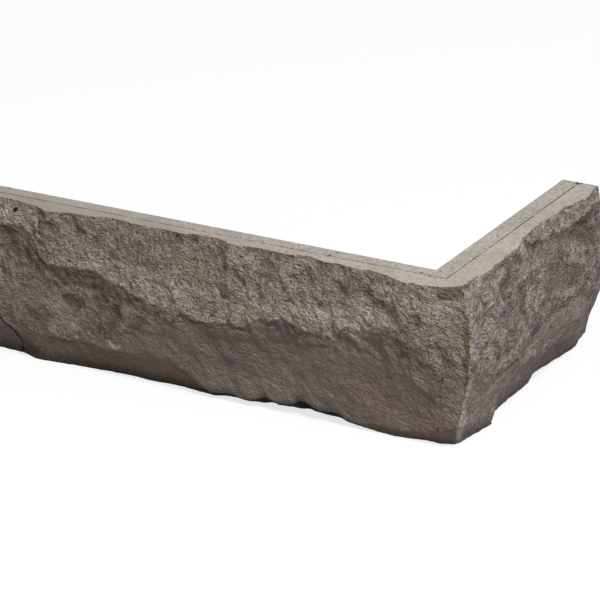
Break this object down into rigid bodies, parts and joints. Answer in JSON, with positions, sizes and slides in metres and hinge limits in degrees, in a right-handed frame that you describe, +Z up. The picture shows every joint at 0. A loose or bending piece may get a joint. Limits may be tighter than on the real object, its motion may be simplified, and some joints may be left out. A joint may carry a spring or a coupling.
{
  "type": "stone cladding corner piece",
  "caption": "L-shaped cast stone that wraps a wall's outside corner, with a rock-faced front on both legs and flat backs, beds and ends.",
  "frame": {"origin": "middle of the stone's bounding box, on the plane it stands on", "axes": "+X towards the short leg's rock face, along the long leg; +Y away from the long leg's rock face; +Z up"},
  "size_m": [0.412, 0.2128, 0.1],
  "materials": {
    "cast_stone": "rough, matt, warm grey"
  },
  "bodies": {
    "root": {"stone_corner": "cast_stone"}
  },
  "joints": []
}
